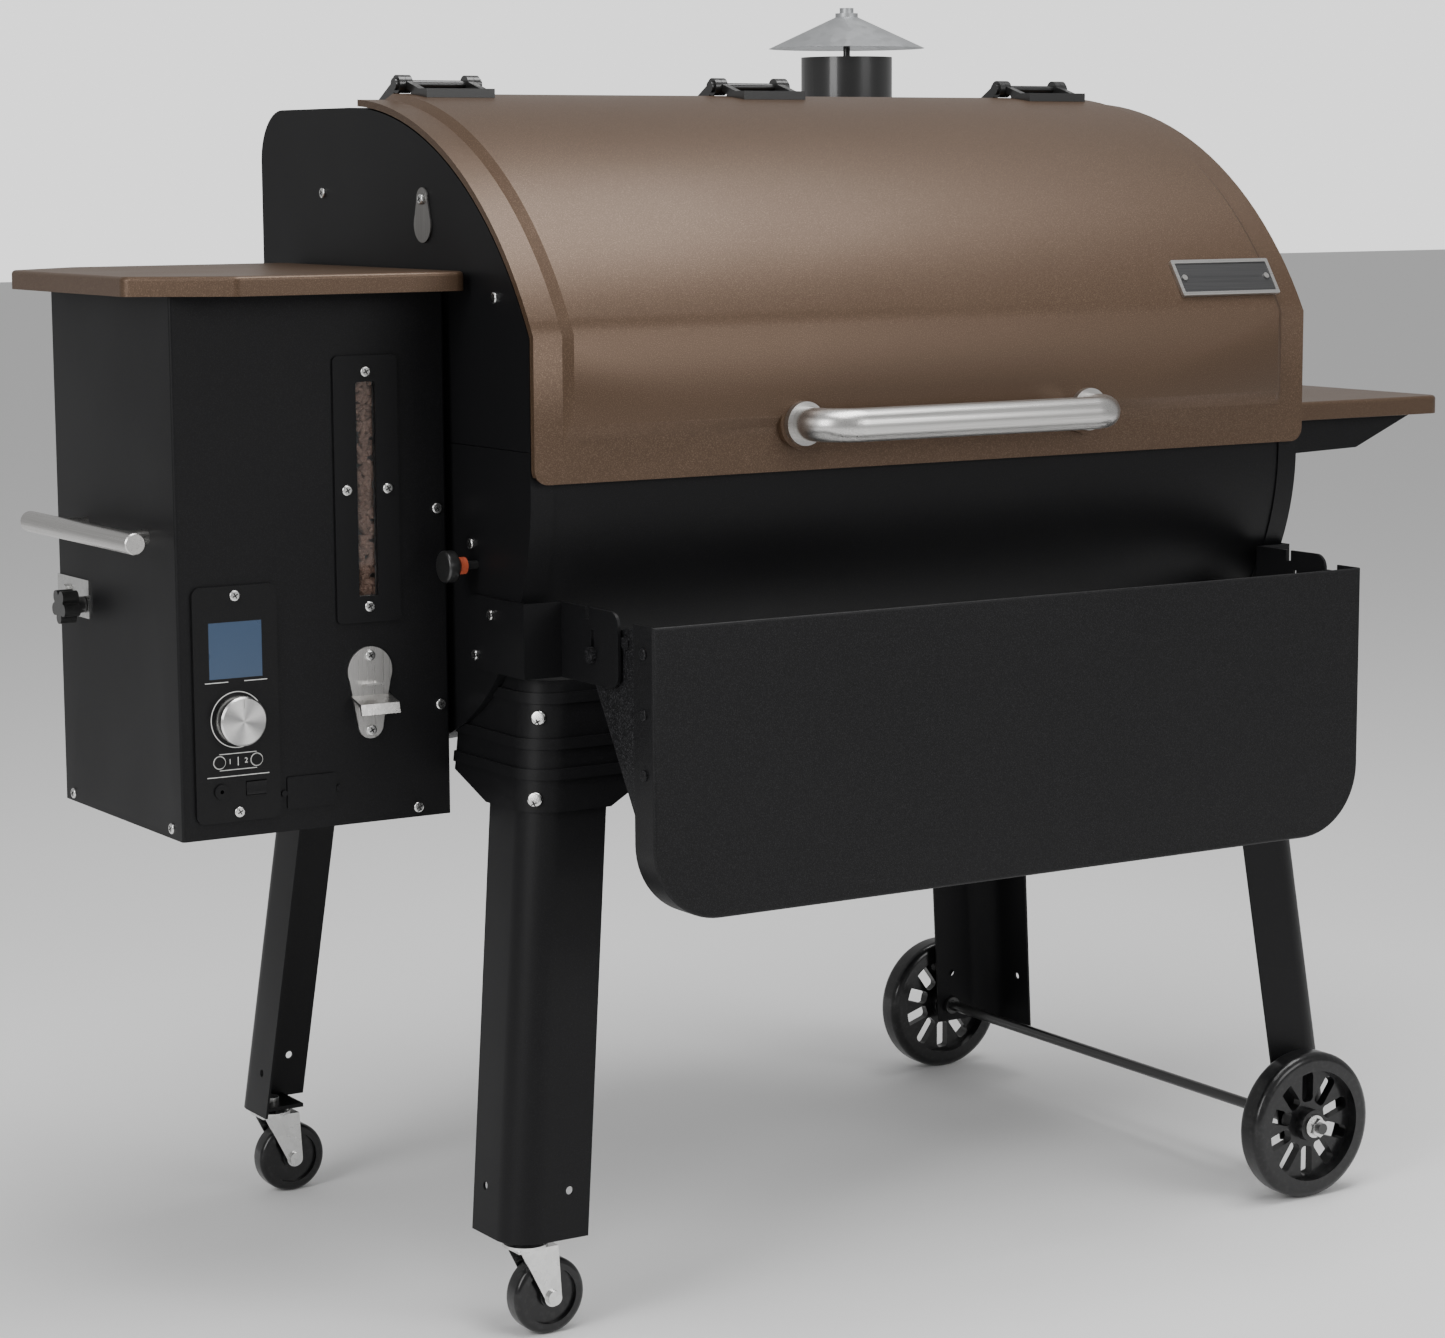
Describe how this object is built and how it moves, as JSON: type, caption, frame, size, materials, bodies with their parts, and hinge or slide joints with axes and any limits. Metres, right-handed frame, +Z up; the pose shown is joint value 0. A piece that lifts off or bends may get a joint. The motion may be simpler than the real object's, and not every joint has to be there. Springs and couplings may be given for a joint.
{
  "type": "pellet smoker grill",
  "caption": "Barrel pellet smoker grill with a wrap-over lid, side pellet hopper, folding front shelf, side shelf, chimney and four wheeled legs.",
  "frame": {"origin": "centre of the bounding box at floor level", "axes": "+X along the barrel from the hopper to the right shelf, -Y to the cook in front, +Z up"},
  "size_m": [1.546, 0.8622, 1.264],
  "materials": {
    "bronze_coat": "speckled satin powder coat",
    "black_coat": "satin black powder coat",
    "stainless": "brushed",
    "zinc": "bright zinc plate",
    "galvanised": "dull galvanised sheet",
    "black_tyre": "glossy moulded black",
    "black_plastic": "matt moulded black",
    "clear_glass": "clear pane",
    "grate_iron": "porcelain coated rod",
    "badge_metal": "blank anodised plate"
  },
  "bodies": {
    "cooker": {"auger_drive": "galvanised", "barrel_shell": "black_coat", "bottle_opener": "stainless", "chimney_outlet": "black_coat", "chimney_pipe": "black_coat", "chrome_bolts": "zinc", "control_panel": "black_plastic", "cooking_grates": "grate_iron", "end_panel_left": "black_coat", "end_panel_right": "black_coat", "fan_housing": "galvanised", "fire_pot": "galvanised", "grate_ledges": "black_coat", "grease_drain": "galvanised", "grease_tray": "galvanised", "hinge_brackets": "black_coat", "hopper_bin": "galvanised", "hopper_body": "black_coat", "hopper_hinges": "zinc", "hopper_trim": "black_coat", "leg_front_left": "black_coat", "leg_front_right": "black_coat", "leg_rear_left": "black_coat", "leg_rear_right": "black_coat", "leg_saddles": "black_coat", "panel_screws": "zinc", "power_inlet": "black_plastic", "right_shelf": "bronze_coat", "shelf_brackets": "black_coat", "side_handle": "stainless", "temperature_probe": "galvanised", "wheel_axle": "galvanised", "window_panes": "clear_glass"},
    "lid": {"lid": "bronze_coat", "lid_handle": "stainless", "lid_badge": "badge_metal", "lid_hinge_leaves": "black_coat"},
    "hopper_lid": {"hopper_lid": "bronze_coat"},
    "front_shelf": {"front_shelf": "black_coat", "fold_arms": "black_coat"},
    "probe_port_cover": {"probe_port_cover": "stainless"},
    "chimney_cap": {"chimney_cap": "galvanised"},
    "caster_fork_front": {"caster_fork_front": "zinc"},
    "caster_fork_rear": {"caster_fork_rear": "zinc"},
    "caster_wheel_front": {"caster_wheel_front": "black_tyre"},
    "caster_wheel_rear": {"caster_wheel_rear": "black_tyre"},
    "wheel_front": {"wheel_front": "black_tyre"},
    "wheel_rear": {"wheel_rear": "black_tyre"},
    "control_knob": {"control_knob": "stainless"},
    "probe_button_left": {"probe_button_left": "black_plastic"},
    "probe_button_right": {"probe_button_right": "black_plastic"},
    "power_rocker": {"power_rocker": "black_plastic"},
    "flame_slide": {"pull_knob": "black_plastic", "flame_slide": "black_coat"},
    "ash_cup": {"ash_cup": "galvanised"},
    "cleanout_knob": {"cleanout_knob": "black_plastic"},
    "bucket_bail": {"bucket_bail": "galvanised"},
    "grease_bucket": {"grease_bucket": "galvanised"},
    "auger_screw": {"auger_screw": "galvanised"},
    "fan_impeller": {"fan_impeller": "galvanised"}
  },
  "joints": [
    {"name": "lid_hinge", "type": "hinge", "parent": "cooker", "child": "lid", "pos_m": [0.014, 0.06085, 1.166], "axis": [-1, 0, 0], "range_deg": [0, 78]},
    {"name": "hopper_lid_hinge", "type": "hinge", "parent": "cooker", "child": "hopper_lid", "pos_m": [-0.586, 0.16385, 0.964], "axis": [-1, 0, 0], "range_deg": [0, 90]},
    {"name": "front_shelf_fold", "type": "hinge", "parent": "cooker", "child": "front_shelf", "pos_m": [0.014, -0.33015, 0.645], "axis": [-1, 0, 0], "range_deg": [0, 90]},
    {"name": "probe_cover_swing", "type": "hinge", "parent": "cooker", "child": "probe_port_cover", "pos_m": [-0.444, -0.08215, 1.055], "axis": [1, 0, 0], "range_deg": [-110, 110]},
    {"name": "chimney_cap_lift", "type": "slide", "parent": "cooker", "child": "chimney_cap", "axis": [0, 0, 1], "range_m": [0, 0.014]},
    {"name": "caster_swivel_front", "type": "hinge", "parent": "cooker", "child": "caster_fork_front", "pos_m": [-0.45855, -0.28358, 0.09], "axis": [0, 0, 1], "continuous": true},
    {"name": "caster_swivel_rear", "type": "hinge", "parent": "cooker", "child": "caster_fork_rear", "pos_m": [-0.45855, 0.27727, 0.09], "axis": [0, 0, 1], "continuous": true},
    {"name": "caster_roll_front", "type": "hinge", "parent": "caster_fork_front", "child": "caster_wheel_front", "pos_m": [-0.43855, -0.28358, 0.037], "axis": [0, 1, 0], "continuous": true},
    {"name": "caster_roll_rear", "type": "hinge", "parent": "caster_fork_rear", "child": "caster_wheel_rear", "pos_m": [-0.43855, 0.27727, 0.037], "axis": [0, 1, 0], "continuous": true},
    {"name": "wheel_roll_front", "type": "hinge", "parent": "cooker", "child": "wheel_front", "pos_m": [0.455, -0.32315, 0.078], "axis": [0, 1, 0], "continuous": true},
    {"name": "wheel_roll_rear", "type": "hinge", "parent": "cooker", "child": "wheel_rear", "pos_m": [0.455, 0.31685, 0.078], "axis": [0, 1, 0], "continuous": true},
    {"name": "dial_turn", "type": "hinge", "parent": "cooker", "child": "control_knob", "pos_m": [-0.6727, -0.13815, 0.584], "axis": [0, -1, 0], "continuous": true},
    {"name": "probe_button_left_press", "type": "slide", "parent": "cooker", "child": "probe_button_left", "axis": [0, 1, 0], "range_m": [0, 0.0015], "stiffness_N_per_m": 200},
    {"name": "probe_button_right_press", "type": "slide", "parent": "cooker", "child": "probe_button_right", "axis": [0, 1, 0], "range_m": [0, 0.0015], "stiffness_N_per_m": 200},
    {"name": "power_rocker_tilt", "type": "hinge", "parent": "cooker", "child": "power_rocker", "pos_m": [-0.6552, -0.13715, 0.5192], "axis": [1, 0, 0], "range_deg": [-4, 4]},
    {"name": "flame_slide_pull", "type": "slide", "parent": "cooker", "child": "flame_slide", "axis": [-1, 0, 0], "range_m": [0, 0.08]},
    {"name": "ash_cup_twist", "type": "hinge", "parent": "cooker", "child": "ash_cup", "pos_m": [0.034, -0.00315, 0.5], "axis": [0, 0, 1], "range_deg": [0, 30]},
    {"name": "cleanout_knob_turn", "type": "hinge", "parent": "cooker", "child": "cleanout_knob", "pos_m": [-0.728, 0.08185, 0.672], "axis": [-1, 0, 0], "continuous": true},
    {"name": "bail_swing", "type": "hinge", "parent": "cooker", "child": "bucket_bail", "pos_m": [0.344, -0.00315, 0.5185], "axis": [0, 1, 0], "range_deg": [-8, 8]},
    {"name": "bucket_swing", "type": "hinge", "parent": "bucket_bail", "child": "grease_bucket", "pos_m": [0.344, -0.00315, 0.466], "axis": [0, 1, 0], "range_deg": [-15, 15]},
    {"name": "auger_turn", "type": "hinge", "parent": "cooker", "child": "auger_screw", "pos_m": [-0.286, -0.00315, 0.585], "axis": [1, 0, 0], "continuous": true},
    {"name": "fan_turn", "type": "hinge", "parent": "cooker", "child": "fan_impeller", "pos_m": [-0.566, 0.09185, 0.53], "axis": [1, 0, 0], "continuous": true}
  ]
}
